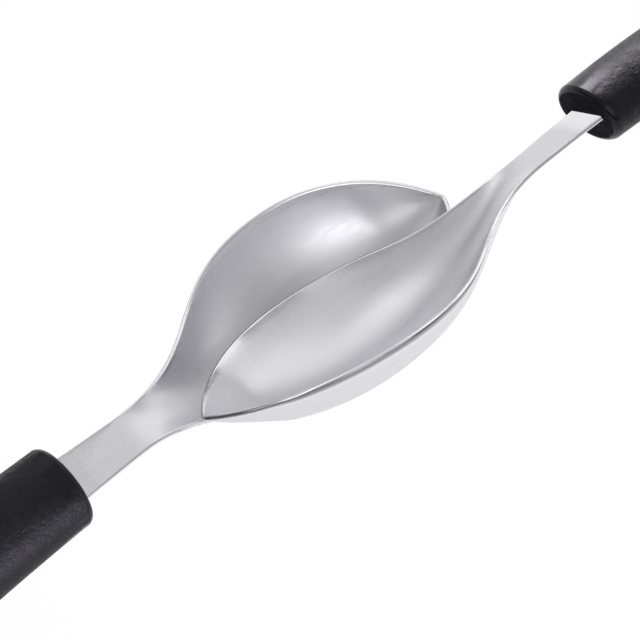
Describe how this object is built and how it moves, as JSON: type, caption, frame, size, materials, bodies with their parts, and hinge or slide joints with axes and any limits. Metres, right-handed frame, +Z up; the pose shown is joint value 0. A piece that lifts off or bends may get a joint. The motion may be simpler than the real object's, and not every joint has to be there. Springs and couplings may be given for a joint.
{
  "type": "quenelle spoon",
  "caption": "Pair of quenelle spoons, one lying in the other: leaf-shaped steel bowls with a blunt point, narrow flat necks and black oval handles.",
  "frame": {"origin": "on the table, under the middle of the pair's outer box", "axes": "+X along the lower spoon from its handle to the tip of its bowl, +Y towards its left rim, where the bowl is open, +Z up"},
  "size_m": [0.389, 0.0688, 0.0408],
  "materials": {
    "satin_steel": "satin stainless steel",
    "black_plastic": "fine-grained moulded plastic"
  },
  "bodies": {
    "lower_spoon": {"lower_blade": "satin_steel", "lower_handle": "black_plastic"},
    "upper_spoon": {"upper_blade": "satin_steel", "upper_handle": "black_plastic"}
  },
  "joints": [
    {"name": "upper_spoon_lift", "type": "slide", "parent": "lower_spoon", "child": "upper_spoon", "axis": [0, 0, 1], "range_m": [0, 0.08]}
  ]
}
